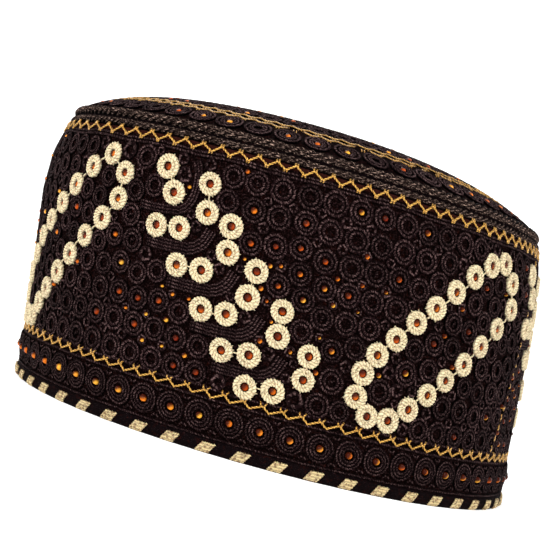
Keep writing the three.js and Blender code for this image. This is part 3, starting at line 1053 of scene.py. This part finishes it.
class SKULLCAP_OT_lower_border(bpy.types.Operator):
    """The lower border: one row of large rings of black cord with stones, and a cord above and below it"""
    bl_idname = "skullcap.lower_border"
    bl_label = "Lower border"

    def execute(self, context):
        s = settings()
        rng = np.random.default_rng(s.seed + 3)
        count = s.border_rings
        pitch = ROUND / count
        along = BORDER_START + np.arange(count) * pitch
        places = side_by_side(along, BORDER_MIDDLE + rng.normal(0, 0.08, count), 0.0, rng.uniform(0, TAU, count),
                              rng.normal(1, 0.015, count))
        cords, stones = Threads(), Threads()
        for radius, sides in ((4.2, 28), (3.15, 24), (2.15, 18)):
            ring = cord_ring(radius, 0.42, sides, 4, out=0.4, lumps=0.08)
            cords.stamp(ring, places, rng.uniform(0.0, 0.5, count))
        for way in (-1, 1):
            knot = tube([(-1.1, 0.2 * way, 0.3), (-0.4, -0.35 * way, 0.45), (0.4, -0.35 * way, 0.45),
                         (1.1, 0.2 * way, 0.3)], 0.38, 4)
            between = places * [1, 1, 1, 0, 1] + [pitch / 2, 4.1 * way, 0, 0, 0]
            cords.stamp(knot, between, rng.uniform(0.2, 0.8, count))
        for height, out in ((15.9, 0.3), (4.75, 0.35)):
            line = side_by_side(whole_round(), height + rng.normal(0, 0.05, 360), out)
            cords.add(ring_cord(line, 0.45, 6), 0.4)
        cords.piece("border_rings", on_wall, "black_cord", "embroidered_cloth")
        stones.stamp(stone_shape(s.stone / MM, 1.2),
                     side_by_side(places[:, :2], 0.15, rng.uniform(-0.6, 0.6, count), rng.uniform(0.78, 0.95, count)),
                     rng.uniform(0.4, 1.0, count))
        stones.piece("border_stones", on_wall, "amber_glass", "amber_stone")
        return {"FINISHED"}


class SKULLCAP_OT_rim_binding(bpy.types.Operator):
    """The black satin binding and its slanted cream stripes"""
    bl_idname = "skullcap.rim_binding"
    bl_label = "Rim binding"

    def execute(self, context):
        s = settings()
        rng = np.random.default_rng(s.seed + 4)
        rows = [(0.0, 88.9), (0.0, 90.6), (0.3, 91.0), (1.0, 91.3), (2.2, 91.4), (3.4, 91.2), (4.1, 90.7),
                (4.7, 90.0), (4.7, 88.8), (1.0, 88.4)]
        band = turned_band("binding_roll", rows, 240)
        dress_band(band, "wall", "striped_binding", ["rim_binding"], "binding_satin")
        cream = Threads()
        for index in range(s.stripes):
            start = STRIPE_START + index * ROUND / s.stripes + rng.normal(0, 0.15)
            for thread in range(STRIPE_THREADS):
                along = start + thread * 0.7 + rng.normal(0, 0.04)
                up = np.linspace(0.3, 3.2, 10) + rng.uniform(0, 0.1)
                out = CLOTH_SINK + 0.08 - 0.5 * ((up - 1.8) / 2.0) ** 4
                width = 0.36 + 0.09 * np.cos(np.arange(10) * math.pi + thread * math.pi)
                cream.add(tube(np.column_stack([along + up / 3.0 * 2.2, up, out]), width, 6), rng.uniform())
        cream.piece("binding_stripes", on_wall, "stripe_cotton", "striped_binding")
        return {"FINISHED"}


class SKULLCAP_OT_crown_seam(bpy.types.Operator):
    """The flat welt and the round piping of the crown seam, both of twisted cord"""
    bl_idname = "skullcap.crown_seam"
    bl_label = "Crown seam"

    def execute(self, context):
        band = turned_band("seam_band", [(89.8, 87.4), (89.8, 88.2), (93.4, 88.2), (93.4, 86.8), (90.2, 86.8)])
        dress_band(band, "wall", "seam_cord", [], "binding_satin")
        self.rope("welt_cords", 88.55, 91.6, 1.15, 0.52, 7.5, 1.15, "wall_top_welt")
        self.rope("piping_cords", 87.7, 94.7, 1.6, 0.70, 9.5, 1.0, "crown_piping")
        return {"FINISHED"}

    def rope(self, name, radius, height, thickness, strand, lay, squash, node, strands=3):
        """Strands wound round one another along a circle of the seam, one turn in each length of lay."""
        rng = np.random.default_rng(settings().seed + 5)
        rope = Threads()
        turns = round(TAU * radius / lay)
        count = turns * 8
        angle = np.arange(count) / count * TAU
        along = angle * CAP_RADIUS - ROUND / 2
        reach = thickness - strand
        for index in range(strands):
            phase = angle * turns + TAU * index / strands
            rope.add(ring_cord(np.column_stack([along, reach * np.sin(phase) * squash, reach * np.cos(phase)]),
                               strand, 6), rng.uniform(0.3, 0.7))
        rope.add(ring_cord(side_by_side(along[::4], 0.0, 0.0), thickness * 0.5), 0.1)
        rope.piece(name, lambda points: wrapped_round(points[:, 0], radius + points[:, 2], height + points[:, 1]),
                   "piping_twist", "seam_cord", node)


class SKULLCAP_OT_crown_work(bpy.types.Operator):
    """The crown's circles of black rings, gold zigzags and stones"""
    bl_idname = "skullcap.crown_work"
    bl_label = "Crown embroidery"

    def execute(self, context):
        s = settings()
        rng = np.random.default_rng(s.seed + 6)
        self.rings(rng, s.black_ring / MM, s.stone / MM)
        self.gold(rng, s.gold_thread / MM)
        return {"FINISHED"}

    def rings(self, rng, radius, stone_radius):
        """Circles of double rings, and a circle of larger triple rings along the crown's edge."""
        rings, stones = Threads(), Threads()
        outer = cord_ring(radius * 1.05, 0.5, 18, 4, 0.4, CROWN_LUMPS)
        inner = cord_ring(radius * 1.05 - TURN_STEP, 0.48, 12, 4, 0.36, CROWN_LUMPS)
        wide = cord_ring(radius * 1.1 + 0.35, 0.5, 22, 4, 0.4, CROWN_LUMPS)
        stone = stone_shape(stone_radius * 0.85, 1.0, 8)
        for row in (81.4, 67.6, 60.6, 53.6, 44.0, 36.4, 25.0, 17.2, 7.6):
            edge = row > 80
            nested = [(wide, 1.0), (outer, 0.76), (inner, 0.8)] if edge else [(outer, 1.0), (inner, 1.0)]
            pitch, stone_share = (9.3, 0.8) if edge else (7.9, 0.3)
            count = max(3, int(TAU * row / pitch))
            angle = (np.arange(count) + rng.uniform()) / count * TAU
            places = side_by_side(row * np.cos(angle), row * np.sin(angle), 0.0, rng.uniform(0, TAU, count),
                                  rng.normal(1, 0.02, count))
            tint = rng.uniform(0.2, 0.8, count)
            for ring, size in nested:
                rings.stamp(ring, places * [1, 1, 1, 1, size], tint)
            held = places[rng.uniform(size=count) < stone_share]
            held[:, 3] = rng.uniform(-0.6, 0.6, len(held))
            stones.stamp(stone, held, rng.uniform(0.3, 1.0, len(held)))
        rings.add(cord_ring(2.0, 0.5, 12, 4, 0.4))
        # The crown's rings use the lighter copy of the black cord, with painted sheen.
        rings.piece("crown_rings", on_crown, "crown_cord", "embroidered_cloth")
        stones.piece("crown_stones", on_crown, "amber_glass", "amber_stone")

    def gold(self, rng, radius, stitch=5.4):
        """Circles of gold stitches with two ticks at each corner; some stitches of the outer circles are gone."""
        gold = Threads()
        for row, depth in ((75.6, 1.4), (72.2, 1.3), (49.0, 2.0), (30.4, 2.0), (12.2, 1.8)):
            count = int(TAU * row / stitch)
            for index in range(count):
                line = []
                for share, level in ((0.0, -0.5), (0.25, 0.0), (0.5, 0.5), (0.75, 0.0), (1.02, -0.5)):
                    angle = (index + share) / count * TAU
                    line.append(at_angle(row + level * depth, angle, 0.62 + 0.1 * (share < 0.1)))
                if row < 70 or rng.uniform() < 0.86:
                    gold.add(tube(line, radius * 0.75, 4, squash=0.8), rng.uniform(0.5, 1.0))
                for share, way in ((0.0, -1), (0.5, 1)):
                    for shift in (-0.45, 0.45):
                        angle = (index + share) / count * TAU + shift / row
                        path = [at_angle(row + way * (depth / 2 + out), angle, up)
                                for out, up in ((-0.2, 0.8), (0.4, 0.7), (0.8, 0.35))]
                        gold.add(tube(path, [0.17, 0.16, 0.13], 4), rng.uniform())
        gold.piece("gold_crown_zigzags", on_crown, "gold_lurex", "gold_thread")


class SKULLCAP_OT_stage(bpy.types.Operator):
    """A pale floor that turns up into the backdrop, soft lights and the camera"""
    bl_idname = "skullcap.stage"
    bl_label = "Floor, lights and camera"

    def execute(self, context):
        self.floor()
        for name, (place, size, power) in LIGHTS.items():
            self.light(name, place, size, power)
        world = bpy.data.worlds.new("studio_air")
        bpy.context.scene.world = world
        world.use_nodes = True
        background = world.node_tree.nodes["Background"].inputs
        background["Color"].default_value = (1.0, 1.0, 1.0, 1.0)
        background["Strength"].default_value = WORLD_STRENGTH
        bpy.context.scene.view_settings.view_transform = "Standard"
        self.camera()
        return {"FINISHED"}

    def floor(self, flat=2.2, curve=0.9, steps=8, wall=2.2):
        """A flat disc, a quarter round at its edge and a straight wall above that, in metres."""
        floor = edited_circle("floor", 96, flat, "NGON")
        tilts = [step / steps * math.pi / 2 for step in range(steps + 1)]
        for before, tilt in zip(tilts, tilts[1:]):
            grow = (flat + curve * math.sin(tilt)) / (flat + curve * math.sin(before))
            extrude_ring((0, 0, curve * (math.cos(before) - math.cos(tilt))), grow)
        extrude_ring((0, 0, wall))
        bpy.ops.object.mode_set(mode="OBJECT")
        bpy.ops.object.shade_smooth()
        floor.data.materials.append(finish_named("pale_floor"))

    def light(self, name, place, size, power):
        lamp = bpy.data.lights.new(name, "AREA")
        lamp.shape = "DISK"
        lamp.size = size
        lamp.energy = power
        made = new_object(name, lamp)
        made.location = place
        aim = Vector(LIGHTS_AIM) - Vector(place)
        made.rotation_euler = aim.to_track_quat("-Z", "Y").to_euler()

    def camera(self):
        """The photo's camera: level, close to the cap and turned about its own axis."""
        ahead = -math.cos(CAMERA_PITCH)
        back = Vector((-math.sin(CAMERA_YAW) * ahead, math.cos(CAMERA_YAW) * ahead, math.sin(CAMERA_PITCH)))
        right = Vector((math.cos(CAMERA_YAW), math.sin(CAMERA_YAW), 0))
        up = back.cross(right)
        side = right * math.cos(CAMERA_ROLL) + up * math.sin(CAMERA_ROLL)
        top = up * math.cos(CAMERA_ROLL) - right * math.sin(CAMERA_ROLL)
        lens = bpy.data.cameras.new("photo_camera")
        lens.sensor_width = 36
        lens.lens = CAMERA_LENS
        lens.clip_start = 0.01
        made = new_object("photo_camera", lens)
        place = Matrix((side, top, back)).transposed().to_4x4()
        place.translation = Vector((AXIS_X * MM, AXIS_Y * MM - CAMERA_AWAY, CAMERA_HEIGHT))
        made.matrix_world = place
        bpy.context.scene.camera = made


OPERATORS = [
    SKULLCAP_OT_cloth_bands, SKULLCAP_OT_wall_rings, SKULLCAP_OT_cream_motifs, SKULLCAP_OT_gold_lines,
    SKULLCAP_OT_lower_border, SKULLCAP_OT_rim_binding, SKULLCAP_OT_crown_seam, SKULLCAP_OT_crown_work,
    SKULLCAP_OT_stage,
]


class SKULLCAP_PT_panel(bpy.types.Panel):
    """The cap's pieces, in the order they are made"""
    bl_idname = "SKULLCAP_PT_panel"
    bl_label = "Skullcap"
    bl_space_type = "VIEW_3D"
    bl_region_type = "UI"
    bl_category = "Skullcap"

    def draw(self, context):
        for prop in SKULLCAP_PG_settings.__annotations__:
            self.layout.prop(context.scene.skullcap, prop)
        for operator in OPERATORS:
            self.layout.operator(operator.bl_idname)


CLASSES = [SKULLCAP_PG_settings, *OPERATORS, SKULLCAP_PT_panel]


def register():
    for each in CLASSES:
        bpy.utils.register_class(each)
    bpy.types.Scene.skullcap = PointerProperty(type=SKULLCAP_PG_settings)


def unregister():
    del bpy.types.Scene.skullcap
    for each in reversed(CLASSES):
        bpy.utils.unregister_class(each)


def main():
    register()
    for operator in OPERATORS:
        group, name = operator.bl_idname.split(".")
        getattr(getattr(bpy.ops, group), name)()


if __name__ == "__main__":
    main()
